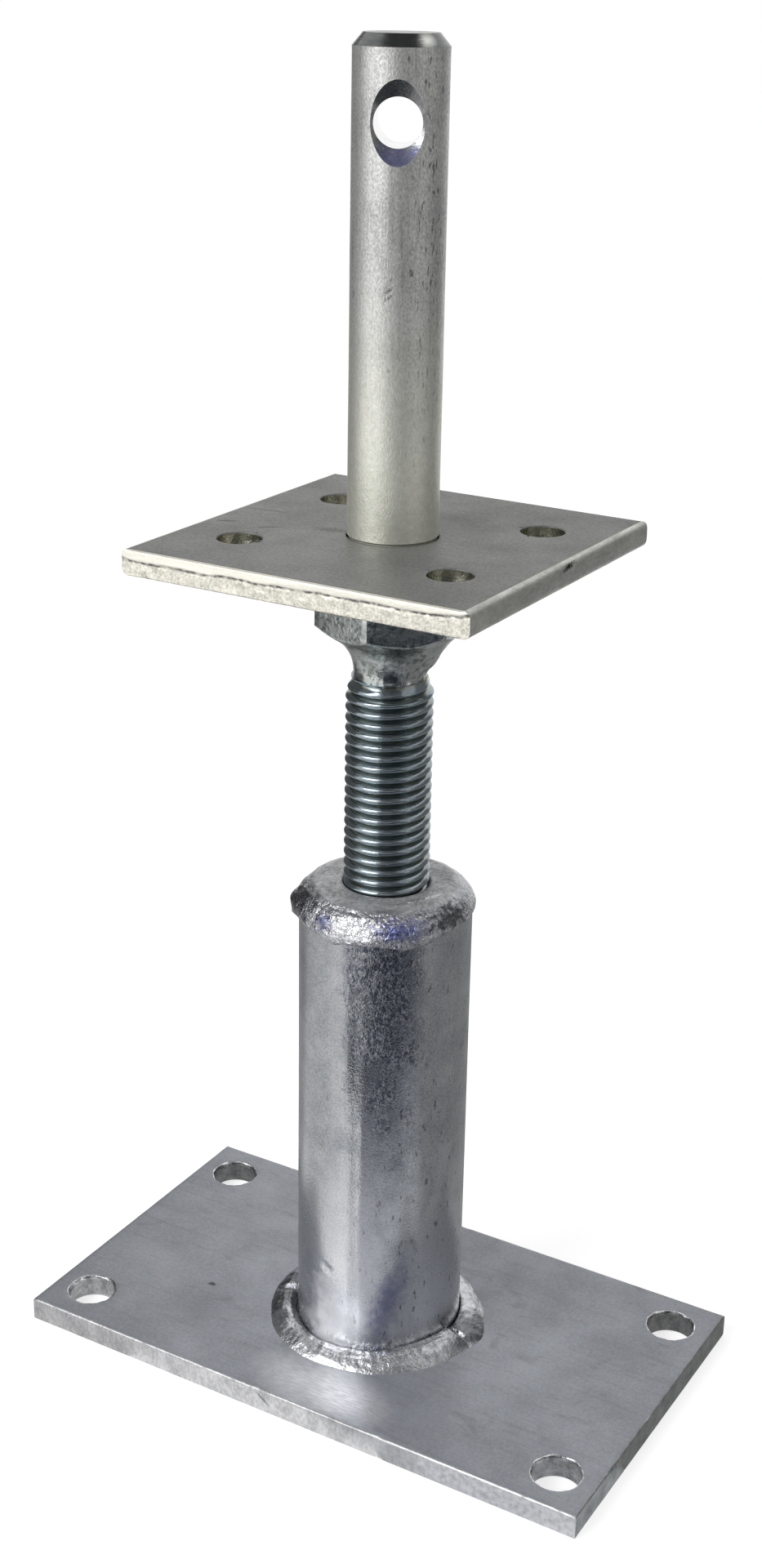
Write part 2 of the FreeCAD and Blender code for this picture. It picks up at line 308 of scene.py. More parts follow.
class Finish:
    """A metal finish built from patterns on the piece's own coordinates."""

    def __init__(self, name):
        self.material = bpy.data.materials.new(name)
        self.material.use_nodes = True
        self.tree = self.material.node_tree
        self.metal = self.tree.nodes["Principled BSDF"]
        self.metal.inputs["Metallic"].default_value = 1.0
        self.place = self.tree.nodes.new("ShaderNodeTexCoord").outputs["Object"]
        self.normal = None

    def add(self, kind, values, **settings):
        return wired(self.tree, kind, values, **settings)

    def pattern(self, size, detail=3.0, stretch=(1, 1, 1), twist=0.0):
        """Noise from 0 to 1 with features of a size in millimetres, drawn out along an axis by stretch."""
        scale = [1 / (size * MM * along) for along in stretch]
        place = self.add("ShaderNodeMapping", {"Vector": self.place, "Scale": scale})
        noisy = self.add(
            "ShaderNodeTexNoise",
            {"Vector": place.outputs[0], "Scale": 1.0, "Detail": detail, "Distortion": twist},
        )
        return noisy.outputs[0]

    def number(self, operation, first, second):
        return self.add("ShaderNodeMath", {0: first, 1: second}, operation=operation).outputs[0]

    def spread(self, source, low, high, to_low, to_high):
        """A value carried from one range into another and kept inside it."""
        values = {"Value": source, "From Min": low, "From Max": high, "To Min": to_low, "To Max": to_high}
        return self.add("ShaderNodeMapRange", values).outputs[0]

    def blend(self, share, first, second):
        """A colour between two, by a share from 0 to 1."""
        values = {0: share, 6: first, 7: second}
        return self.add("ShaderNodeMix", values, data_type="RGBA").outputs[2]

    def marked(self, colour, mask, share, painted_blue_reflection):
        """A colour with a mark laid over it by its mask and a share, a number or a pattern."""
        return self.blend(self.number("MULTIPLY", mask, share), colour, painted_blue_reflection)

    def attribute(self, name):
        """A value that the piece's vertices carry."""
        return self.add("ShaderNodeAttribute", {}, attribute_name=name).outputs["Fac"]

    def height(self):
        """The height above the base plate's underside, in metres."""
        return self.add("ShaderNodeSeparateXYZ", {"Vector": self.place}).outputs["Z"]

    def spot(self, middle, reach, tilt=(0, 0, 0), ragged=0.25, core=0.6):
        """1 in the core of a ragged blot, falling to 0 at its rim.

        Its half sizes are in millimetres and its tilt in degrees."""
        back = [-value * MM for value in middle]
        moved = self.add("ShaderNodeVectorMath", {0: self.place, 1: back}, operation="ADD").outputs[0]
        scale = [1 / (half * MM) for half in reach]
        tilted = self.add(
            "ShaderNodeVectorRotate", {"Vector": moved, "Rotation": [math.radians(turn) for turn in tilt]},
            rotation_type="EULER_XYZ",
        ).outputs[0]
        scaled = self.add("ShaderNodeVectorMath", {0: tilted, 1: scale}, operation="MULTIPLY").outputs[0]
        length = self.add("ShaderNodeVectorMath", {0: scaled}, operation="LENGTH").outputs["Value"]
        wobble = self.spread(self.pattern(0.5 * min(reach), 2.0), 0.3, 0.7, -ragged, ragged)
        return self.spread(self.number("ADD", length, wobble), core, 1.0, 1.0, 0.0)

    def bump(self, height, depth, strength=1.0):
        """Adds relief of a depth in millimetres."""
        values = {"Height": height, "Distance": depth * MM, "Strength": strength}
        if self.normal is not None:
            values["Normal"] = self.normal
        self.normal = self.add("ShaderNodeBump", values).outputs[0]

    def done(self, colour, roughness):
        self.tree.links.new(colour, self.metal.inputs["Base Color"])
        self.tree.links.new(roughness, self.metal.inputs["Roughness"])
        if self.normal is not None:
            self.tree.links.new(self.normal, self.metal.inputs["Normal"])
        return self.material


def zinc(
    name, dark, light, roughness, cloud, speck, relief,
    stretch=(1, 1, 1), contrast=0.22, grain=0.4, metallic=1.0,
):
    """Zinc with soft clouds, fine specks and a little relief; dull zinc is less metallic."""
    finish = Finish(name)
    finish.metal.inputs["Metallic"].default_value = metallic
    clouds = finish.pattern(cloud, 4.0, stretch)
    specks = finish.pattern(speck, 3.0, stretch)
    mixed = finish.number(
        "ADD", finish.number("MULTIPLY", clouds, 1 - grain), finish.number("MULTIPLY", specks, grain),
    )
    tone = finish.spread(mixed, 0.5 - contrast, 0.5 + contrast, 0.0, 1.0)
    colour = finish.blend(tone, dark, light)
    rough = finish.spread(mixed, 0.35, 0.65, roughness[1], roughness[0])
    finish.bump(specks, relief)
    return finish, colour, rough


def plain_zinc(*given, **options):
    finish, colour, rough = zinc(*given, **options)
    return finish.done(colour, rough)


def base_plate_finish():
    """Matte, mottled hot-dip zinc with faint streaks, small stains and a painted highlight glowing at the
    front.
    """
    finish, colour, rough = zinc(
        "galvanised_plate", rgb(0.250, 0.262, 0.293), rgb(0.402, 0.418, 0.458), (0.38, 0.48),
        cloud=16, speck=0.9, relief=0.06, metallic=0.35,
    )
    streaks = finish.pattern(1.6, 3.0, (22, 1, 1))
    colour = finish.blend(finish.spread(streaks, 0.56, 0.75, 0.0, 0.2), colour, rgb(0.15, 0.15, 0.17))
    stains = finish.pattern(7, 5.0, (1.6, 1, 1), 1.0)
    colour = finish.blend(finish.spread(stains, 0.60, 0.78, 0.0, 0.45), colour, rgb(0.13, 0.13, 0.14))
    # Painted highlight: a pale, scratch-streaked glow on the plate in front of the sleeve.
    painted_glow_patch = finish.spot((6, -41, BASE_TOP), (26, 13, 5), (0, 0, 8), 0.05, 0.25)
    scratches = finish.spread(finish.pattern(0.5, 3.0, (7, 1, 1)), 0.35, 0.65, 0.55, 1.0)
    colour = finish.marked(colour, painted_glow_patch, scratches, rgb(0.86, 0.865, 0.90))
    dot = finish.spot((-48.8, -16.7, BASE_TOP), (1.4, 1.0, 2), ragged=0.4)
    colour = finish.blend(dot, colour, rgb(0.08, 0.08, 0.085))
    finish.bump(finish.pattern(9, 3.0), 0.18)
    return finish.done(colour, rough)


def long_edge_finish():
    """Pale, grainy zinc of the base plate's long edges, with a scratch under the larger chip."""
    finish, colour, rough = zinc(
        "galvanised_long_edge", rgb(0.36, 0.36, 0.37), rgb(0.66, 0.66, 0.67), (0.40, 0.55),
        cloud=5, speck=0.8, relief=0.10, stretch=(1, 1, 1.6), contrast=0.18, grain=0.5,
    )
    pale = finish.spot((74, -BASE_WIDTH / 2, 3.5), (52, 9, 14), ragged=0.15, core=0.5)
    grains = finish.spread(finish.pattern(1.6, 4.0), 0.3, 0.62, 0.35, 0.95)
    colour = finish.marked(colour, pale, grains, rgb(0.95, 0.95, 0.96))
    scratch = finish.spot((-7.6, -BASE_WIDTH / 2, 4.2), (3.2, 2, 0.35), (0, -34, 0), 0.4)
    colour = finish.marked(colour, scratch, 0.8, rgb(0.10, 0.10, 0.11))
    return finish.done(colour, rough)


def anchor_hole_finish():
    """Dark zinc of the anchor holes' walls, with painted highlights on the zinc lumps of the rim by the
    rim attribute.
    """
    finish, colour, rough = zinc(
        "galvanised_hole", rgb(0.15, 0.155, 0.16), rgb(0.46, 0.465, 0.47), (0.14, 0.34),
        cloud=3, speck=0.8, relief=0.16,
    )
    # The rim attribute carries the painted highlights on the rim.
    rim = finish.attribute("rim")
    return finish.done(finish.blend(rim, colour, rgb(0.90, 0.90, 0.92)), rough)


def tube_finish():
    """Satin hot-dip zinc: cleaner at the left, pale at the foot as a painted reflection of the plate, with
    a painted highlight on the foot, painted shade high at the left, a painted blue reflection low on the
    front, a painted glint at the nick and scratched dross high on the front.
    """
    finish, colour, rough = zinc(
        "galvanised_tube", rgb(0.33, 0.345, 0.37), rgb(0.53, 0.54, 0.56), (0.20, 0.30),
        cloud=7, speck=0.6, relief=0.04, contrast=0.13, grain=0.6,
    )
    # Painted reflection: the sleeve turns pale towards its foot, for the lit plate it mirrors.
    painted_foot_reflection = finish.spread(finish.height(), 0.075, 0.020, 0.0, 0.85)
    colour = finish.blend(painted_foot_reflection, colour, rgb(0.82, 0.83, 0.86))
    # Painted highlight: a pale, rougher spot on the front of the foot.
    painted_foot_highlight = finish.spot((-4.5, -23.7, 12), (9.5, 8, 20), ragged=0.3, core=0.15)
    colour = finish.blend(painted_foot_highlight, colour, rgb(0.96, 0.96, 0.98))
    rough = finish.number("ADD", rough, finish.number("MULTIPLY", painted_foot_highlight, 0.34))
    smooth_strip = finish.spot((4.5, -23.7, 78), (6, 8, 42), ragged=0.2, core=0.5)
    rough = finish.number("SUBTRACT", rough, finish.number("MULTIPLY", smooth_strip, 0.11))
    across = finish.add(
        "ShaderNodeVectorMath", {0: finish.place, 1: TUBE_MARKED_SIDE}, operation="DOT_PRODUCT",
    ).outputs["Value"]
    marked_side = finish.spread(across, -0.012, 0.006, 0.25, 1.0)
    stains = finish.spread(finish.pattern(9, 6.0, (1, 1, 2.2), 1.0), 0.54, 0.76, 0.0, 0.45)
    colour = finish.marked(colour, stains, marked_side, rgb(0.17, 0.175, 0.20))
    pits = finish.spread(finish.pattern(1.2, 2.0, (1, 1, 2.6)), 0.64, 0.71, 0.0, 0.7)
    colour = finish.marked(colour, pits, marked_side, rgb(0.10, 0.10, 0.11))
    # Painted shade: a soft dark spot high on the left, under the bead's lip.
    painted_shade_spot = finish.spot((-15.0, -17.5, 128), (8, 10, 30), ragged=0.15, core=0.1)
    colour = finish.marked(colour, painted_shade_spot, 0.6, rgb(0.16, 0.17, 0.19))
    # Painted reflection: a blue streak low on the front, right of the middle.
    painted_blue_streak = finish.spot((13.6, -19.9, 24), (4.6, 12, 18), (0, -14, 0), 0.25, 0.15)
    colour = finish.marked(colour, painted_blue_streak, 0.65, rgb(0.17, 0.18, 0.40))
    dross = finish.spot((11.7, -21.1, 124), (12, 12, 48), ragged=0.35, core=0.5)
    scratched = finish.number("SUBTRACT", finish.pattern(0.6, 4.0, (1, 1, 1.7), 1.0), 0.5)
    finish.bump(finish.number("MULTIPLY", dross, scratched), 0.20)
    marks = finish.spread(finish.pattern(0.9, 4.0, (1, 1, 1.8), 1.0), 0.44, 0.58, 0.0, 0.9)
    colour = finish.marked(colour, dross, marks, rgb(0.12, 0.13, 0.165))
    glint = finish.spot((-3.5, -23.9, 33.9), (3.4, 3.0, 0.5), (0, -24, 0), 0.3)
    colour = finish.blend(glint, colour, grey(0.95))
    finish.bump(finish.pattern(4.5, 3.0, (1, 1, 4)), 0.08)
    return finish.done(colour, rough)


def cap_finish():
    """The dull flat of the bush, running into the bright zinc of the bead by the bead attribute; the bead
    carries painted highlights, painted blue reflections and painted shade.
    """
    finish, flat, flat_rough = zinc(
        "galvanised_cap", rgb(0.27, 0.275, 0.28), rgb(0.60, 0.605, 0.61), (0.36, 0.6),
        cloud=5, speck=1.0, relief=0.16, contrast=0.14, grain=0.55,
    )
    bead = finish.attribute("bead")
    bright = finish.blend(finish.pattern(2.5, 4.0), rgb(0.24, 0.25, 0.28), rgb(0.66, 0.66, 0.68))
    # Painted reflection: a blue cast on the bead's front right.
    painted_blue_reflection = finish.spot((15.5, -18.8, 142.5), (9, 8, 3.5), ragged=0.4, core=0.2)
    bright = finish.marked(bright, painted_blue_reflection, 0.8, rgb(0.14, 0.165, 0.44))
    gleam = finish.spot((4, -24, 141.5), (9, 6, 5), ragged=0.6, core=0.3)
    bright = finish.marked(bright, gleam, 0.6, rgb(0.92, 0.92, 0.94))
    # Painted reflection: a dark blue cast at the bead's front left.
    painted_dark_blue_reflection = finish.spot((-5.5, -23.8, 142), (3.0, 3.0, 3.5), ragged=0.5, core=0.3)
    bright = finish.marked(bright, painted_dark_blue_reflection, 0.8, rgb(0.10, 0.11, 0.24))
    # Painted shade: dark spots on the bead at the left and at the right.
    for middle, reach in (((-18, -15, 143), (11, 11, 6)), ((23, -5, 143.5), (5, 8, 4))):
        dark = finish.spot(middle, reach, ragged=0.7, core=0.4)
        bright = finish.marked(bright, dark, 0.85, rgb(0.07, 0.072, 0.08))
    # Painted highlight along the ridge on the cap's flat.
    painted_ridge_highlight = finish.attribute("painted_ridge_highlight")
    bright = finish.blend(painted_ridge_highlight, bright, rgb(0.93, 0.93, 0.94))
    colour = finish.blend(bead, flat, bright)
    bright_rough = finish.spread(finish.pattern(1.2, 3.0), 0.3, 0.7, 0.07, 0.20)
    rough = finish.add(
        "ShaderNodeMix", {0: bead, 2: flat_rough, 3: bright_rough}, data_type="FLOAT",
    ).outputs[0]
    finish.tree.links.new(finish.spread(bead, 0.0, 1.0, 0.3, 1.0), finish.metal.inputs["Metallic"])
    wrinkles = finish.number("SUBTRACT", finish.pattern(1.1, 4.0, twist=0.8), 0.5)
    finish.bump(finish.number("MULTIPLY", bead, wrinkles), 0.6)
    return finish.done(colour, rough)


def bead_finish():
    """Lumpy zinc of the bead at the sleeve's foot, with painted shade at the left and on the second run.
    """
    finish, colour, rough = zinc(
        "galvanised_bead", rgb(0.40, 0.41, 0.43), rgb(0.74, 0.745, 0.77), (0.20, 0.34),
        cloud=2.5, speck=0.7, relief=0.10, contrast=0.16,
    )
    # Painted shade: dark spots on the bead's left end and on its second run.
    for middle, reach in (((30, 3, 9), (10, 9, 8)), ((-27, -8, 9), (11, 16, 8))):
        dull = finish.spot(middle, reach, ragged=0.35, core=0.5)
        colour = finish.marked(colour, dull, 0.85, rgb(0.14, 0.145, 0.16))
    finish.bump(finish.pattern(1.2, 4.0, twist=0.6), 0.22)
    return finish.done(colour, rough)


def thread_finish():
    """Shiny dark zinc, with an olive painted reflection where the flanks face down."""
    finish, colour, rough = zinc(
        "zinc_plated_thread", rgb(0.22, 0.265, 0.295), rgb(0.38, 0.435, 0.465), (0.16, 0.24),
        cloud=6, speck=0.7, relief=0.03,
    )
    # Painted reflection: an olive line on the flanks that face down.
    flank = finish.attribute("lower_flank")
    dull = finish.spread(finish.pattern(3.5, 3.0), 0.35, 0.65, 0.35, 1.0)
    colour = finish.marked(colour, flank, dull, rgb(0.36, 0.34, 0.24))
    return finish.done(colour, rough)


def flare_finish():
    """Bright zinc of the hexagon and flare, blotchy on the flats."""
    finish, colour, rough = zinc(
        "zinc_plated_flare", rgb(0.30, 0.33, 0.32), rgb(0.58, 0.60, 0.585), (0.20, 0.32),
        cloud=6, speck=1.2, relief=0.10,
    )
    blots = finish.pattern(2.4, 3.0, twist=1.4)
    colour = finish.blend(finish.spread(blots, 0.50, 0.62, 0.0, 0.75), colour, rgb(0.13, 0.15, 0.135))
    return finish.done(colour, rough)


def top_plate_finish():
    """Matte warm grey zinc with smudges by the pin and the left holes."""
    finish, colour, rough = zinc(
        "zinc_plated_plate", rgb(0.17, 0.171, 0.167), rgb(0.265, 0.266, 0.258), (0.46, 0.58),
        cloud=14, speck=0.8, relief=0.05, contrast=0.16, grain=0.55, metallic=0.35,
    )
    smudge = finish.spot((-15.5, -5.0, PLATE_TOP), (5.0, 2.4, 2.0), (0, 0, -12), 0.5)
    colour = finish.marked(colour, smudge, 0.6, grey(0.07))
    for middle, reach, turn in (
        ((-30.5, -11.5, PLATE_TOP), (4.2, 0.6, 1.5), -38),
        ((-41.0, 3.0, PLATE_TOP), (7.5, 0.45, 1.5), -6),
        ((-43.5, -12.5, PLATE_TOP), (3.0, 1.0, 1.5), -25),
    ):
        mark = finish.spot(middle, reach, (0, 0, turn), 0.5)
        colour = finish.marked(colour, mark, 0.75, grey(0.05))
    return finish.done(colour, rough)


def sheared_edge_finish():
    """Bright cream shear edge: burnished at the top, grainy where the steel broke, with painted shade
    along the break line.
    """
    finish, colour, rough = zinc(
        "zinc_plated_sheared_edge", rgb(0.46, 0.445, 0.40), rgb(0.86, 0.83, 0.74), (0.40, 0.52),
        cloud=2.5, speck=0.7, relief=0.12, contrast=0.16, grain=0.6,
    )
    torn = finish.attribute("torn")
    drawn = finish.pattern(1.2, 3.0, (12, 1, 1))
    burnished = finish.blend(drawn, rgb(0.66, 0.64, 0.57), rgb(0.95, 0.92, 0.84))
    colour = finish.blend(torn, burnished, colour)
    # Painted shade: a dark, broken band along the break line.
    line = finish.attribute("break_line")
    wide_line = finish.spread(line, 0.0, 0.6, 0.0, 1.0)
    painted_break_shade = finish.spread(finish.pattern(1.4, 4.0), 0.34, 0.58, 0.0, 0.9)
    colour = finish.marked(colour, wide_line, painted_break_shade, rgb(0.10, 0.10, 0.095))
    return finish.done(colour, rough)


def rolled_edge_finish():
    """Olive grey rolled edge with a dark nick near its middle."""
    finish, colour, rough = zinc(
        "zinc_plated_rolled_edge", rgb(0.40, 0.41, 0.38), rgb(0.76, 0.76, 0.71), (0.42, 0.55),
        cloud=5, speck=0.7, relief=0.08, stretch=(1, 2.5, 1),
    )
    middle = (PLATE_SIDE / 2, ROLLED_NICK_Y, PLATE_TOP - ROLLED_NICK_DEPTH)
    nick = finish.spot(middle, (2.5, 3.4, 0.7), (-8, 0, 0), 0.7)
    colour = finish.blend(nick, colour, rgb(0.03, 0.03, 0.035))
    return finish.done(colour, rough)


def pin_finish():
    """Grainy satin zinc on drawn bar, with upright streaks, dark nicks and a pale warm painted reflection
    low down.
    """
    finish, colour, rough = zinc(
        "zinc_plated_pin", rgb(0.36, 0.365, 0.36), rgb(0.66, 0.66, 0.645), (0.38, 0.50),
        cloud=7, speck=0.45, relief=0.08, stretch=(1, 1, 1.6), contrast=0.14, grain=0.7, metallic=0.8,
    )
    streaks = finish.pattern(1.3, 3.0, (1, 1, 14))
    colour = finish.blend(finish.spread(streaks, 0.58, 0.75, 0.0, 0.5), colour, grey(0.20))
    flecks = finish.pattern(1.5, 2.0, (1, 1, 3.0))
    colour = finish.blend(finish.spread(flecks, 0.70, 0.77, 0.0, 0.8), colour, grey(0.07))
    dashes = finish.spread(finish.pattern(0.9, 2.0, (1, 1, 3.5)), 0.60, 0.68, 0.0, 0.8)
    flecked_side = finish.spot((11, -4, 315), (6, 8, 75), ragged=0.4)
    colour = finish.marked(colour, dashes, flecked_side, grey(0.06))
    slant = (0, 42, 0)
    for nick_height, half_length in ((307.6, 1.9), (309.2, 1.3)):
        nick = finish.spot((4.1, -11.3, nick_height), (half_length, 3.0, 0.45), slant, 0.8)
        colour = finish.marked(colour, nick, 0.7, grey(0.06))
    # Painted reflection: the pin turns pale and warm towards the plate, for the lit plate it mirrors.
    warm = finish.spread(finish.height(), 0.315, 0.250, 0.0, 0.9)
    painted_reflection_tone = finish.blend(finish.pattern(1.5, 3.0), rgb(0.62, 0.63, 0.53), rgb(0.98, 0.98, 0.87))
    colour = finish.blend(warm, colour, painted_reflection_tone)
    return finish.done(colour, rough)


def chamfer_finish():
    """Turned zinc of the pin's chamfer, painted dark for the dark reflection it shows, with a pale gleam
    at its right as a painted highlight.
    """
    # Painted reflection: the chamfer's zinc is much darker than the pin's, for the dark it mirrors.
    finish, colour, rough = zinc(
        "zinc_plated_chamfer", rgb(0.10, 0.105, 0.11), rgb(0.21, 0.21, 0.205), (0.18, 0.28),
        cloud=4, speck=0.35, relief=0.04, stretch=(12, 12, 1),
    )
    # Painted highlight: a pale gleam at the chamfer's right.
    gleam = finish.spot((9.6, -4.7, 367.4), (2.4, 3.6, 2.6), ragged=0.05, core=0.1)
    return finish.done(finish.blend(gleam, colour, rgb(0.70, 0.69, 0.66)), rough)


def countersink_finish():
    """Zinc of the countersinks, painted dark for the shade in them, with a painted blue reflection in the
    lower half of the front one.
    """
    finish, colour, rough = zinc(
        "zinc_plated_countersink", rgb(0.09, 0.095, 0.10), grey(0.30), (0.16, 0.30),
        cloud=3, speck=0.6, relief=0.06,
    )
    # Painted reflection: a blue cast in the lower half of the front countersink.
    painted_blue_reflection = finish.spot((5.4, -10.7, 340.0), (8, 8, 5.0), ragged=0.3, core=0.4)
    return finish.done(finish.marked(colour, painted_blue_reflection, 0.8, rgb(0.12, 0.125, 0.24)), rough)


# Galvanised weldment

def base_plate():
    flat_length = BASE_LENGTH - 2 * BASE_EDGE_ROUND
    flat_width = BASE_WIDTH - 2 * BASE_EDGE_ROUND
    holes = corner_holes(ANCHOR_X, ANCHOR_Y, ANCHOR_RADIUS)
    bm = drilled_slab(flat_length, flat_width, low=0, high=BASE_TOP, spacing=1.5, holes=holes, rows=12)
    rim = bm.verts.layers.float.new("rim")
    mark_walls(bm, flat_length, flat_width, BASE_TOP)
    for vert in bm.verts:
        place = vert.co.copy()
        depth = crowded_depth((BASE_TOP - place.z) / BASE_TOP, BASE_TOP)
        chip = max(0.0, lumps(place, 3.0, 4) - 0.45) * 0.9
        if place.y < 0:
            chip += sum(deep * hump(place.x, x, half_width) for x, half_width, deep in FRONT_CHIPS)
        push = BASE_EDGE_ROUND - rounded_inset(depth, BASE_TOP, BASE_EDGE_ROUND, 0.4)
        push -= 0.05 + 0.05 * lumps(place, 5.0, 7) + chip * eased(2.2, 0.0, depth)
        at_side = False
        if abs(place.x) > flat_length / 2 - 0.01:
            vert.co.x += push * math.copysign(1, place.x)
            at_side = True
        if abs(place.y) > flat_width / 2 - 0.01:
            vert.co.y += push * math.copysign(1, place.y)
            at_side = True
        if at_side:
            vert.co.z = BASE_TOP - depth - chip * 0.5 * eased(0.8, 0.0, depth) * (depth < 1)
            continue
        for x, y, radius in holes:
            away = Vector((place.x - x, place.y - y, 0))
            if away.length < radius + 0.01:
                zinc_rim = 0.30 * lumps(place, 1.9, 11) + 0.18 * lumps(place, 0.9, 3)
                open_up = rounded_inset(depth, BASE_TOP, 0.45, 0.3)
                open_up -= (0.12 + zinc_rim) * eased(5.0, 0.2, depth)
                vert.co.xy = Vector((x, y)) + away.xy * (1 + open_up / radius)
                vert.co.z = BASE_TOP - depth
                # Painted highlights: glints laid on the zinc lumps round each hole's rim.
                painted_rim_glints = min(1.0, max(0.0, 2.2 * lumps(place, 1.6, 13) + 0.5))
                vert[rim] = painted_rim_glints * eased(1.3, 0.35, depth)
    # Painted shade: the short edges take a darker zinc than the long ones, for the shadowed floor they
    # mirror.
    painted_shade_edge = plain_zinc(
        "galvanised_short_edge", rgb(0.23, 0.245, 0.245), rgb(0.52, 0.535, 0.53), (0.42, 0.55),
        cloud=5, speck=0.9, relief=0.10,
    )
    finishes = [base_plate_finish(), long_edge_finish(), painted_shade_edge, anchor_hole_finish()]
    return finished("base_plate_piece", bm, "base", ["base_plate"], finishes)


def sleeve_tube():
    section = [
        (TUBE_RADIUS, BASE_TOP, 134), (TUBE_RADIUS, TUBE_TOP, 2),
        (TUBE_BORE, TUBE_TOP, 10), (TUBE_BORE, BASE_TOP, 0),
    ]
    bm = turned(section, steps=180, closed=True)
    for vert in bm.verts:
        place = vert.co.copy()
        if place.xy.length < TUBE_RADIUS - 0.1:
            continue
        turn = turn_of(place)
        swell = 0.07 * lumps(place * Vector((1, 1, 0.3)), 16, 2) + 0.015 * lumps(place, 6, 5)
        swell -= 0.09 * eased(4.2, 3.0, abs(degrees_from(turn, TUBE_SEAM_TURN)))
        sideways = degrees_from(turn, TUBE_NICK_TURN) * TUBE_ARC
        swell -= 0.5 * slanted_nick(sideways, place.z - TUBE_NICK_HEIGHT, -0.45, 2.0)
        vert.co.xy = place.xy * (1 + (swell - 0.1) / TUBE_RADIUS)
    return finished("sleeve_tube_piece", bm, "base", ["sleeve_tube"], [tube_finish()])


def base_bead():
    """Two bead runs round the sleeve's foot, the front one ending in a step at the right."""
    reach = BASE_BEAD_REACH
    section = [
        (TUBE_RADIUS, BASE_TOP, 0), (TUBE_RADIUS, BASE_TOP + 3, 30), (TUBE_RADIUS + reach, BASE_TOP, 4),
    ]
    bm = turned(section, steps=360, closed=True)
    for vert in bm.verts:
        place = vert.co.copy()
        share = (place.xy.length - TUBE_RADIUS) / reach
        turn = turn_of(place)
        arc = Vector((place.x, place.y, 0)).normalized() * 28
        width = reach + 0.4 * lumps(arc, 8.0, 1) + 0.12 * lumps(arc, 2.4, 2)
        width += 1.6 * bulge(turn, 6, 10) + 0.7 * bulge(turn, -117, 18) - 1.4 * bulge(turn, 50, 25)
        climb = 1.0 + 1.3 * eased(-115, -75, turn) + 1.6 * eased(-70, -35, turn)
        if turn > -2 or turn < -165:
            climb = 2.6
        crest = max(climb + 0.35, 2.6) + 0.25 * lumps(arc, 4.0, 6)
        stop = 0.8 * bulge(turn, -4, 2.2) + bulge(turn, 196, 3.0)
        peak = 0.14 + 0.16 * eased(-60, -110, turn)
        if share < peak:
            height = climb + (crest - climb) * eased(0, peak, share) - 0.9 * hump(share, 0, 0.035)
        else:
            height = crest * (1 - ((share - peak) / (1 - peak)) ** 2.3)
        streak_place = place.xy.normalized().to_3d() * 6 + Vector((0, 0, share * reach))
        streaks = 0.20 * lumps(streak_place, 1.5, 3) + 0.10 * lumps(streak_place, 0.8, 8)
        ripple = 0.05 * math.sin(math.radians(turn) * 70 - 5 * share + 2 * lumps(arc, 5.0, 9))
        rough = 0.22 * lumps(place, 4.0, 3) + streaks + ripple
        rough *= eased(1.0, 0.8, share) * eased(0.0, 0.12, share)
        height = max(0.05, (height + rough) * (1 - 0.7 * stop))
        vert.co.xy = place.xy.normalized() * (TUBE_RADIUS + share * width)
        if place.z > BASE_TOP + 0.001:
            vert.co.z = BASE_TOP + height
    nodes = ["base_weld"]
    return finished("base_bead_piece", bm, "base", nodes, [bead_finish()], sharp=60)


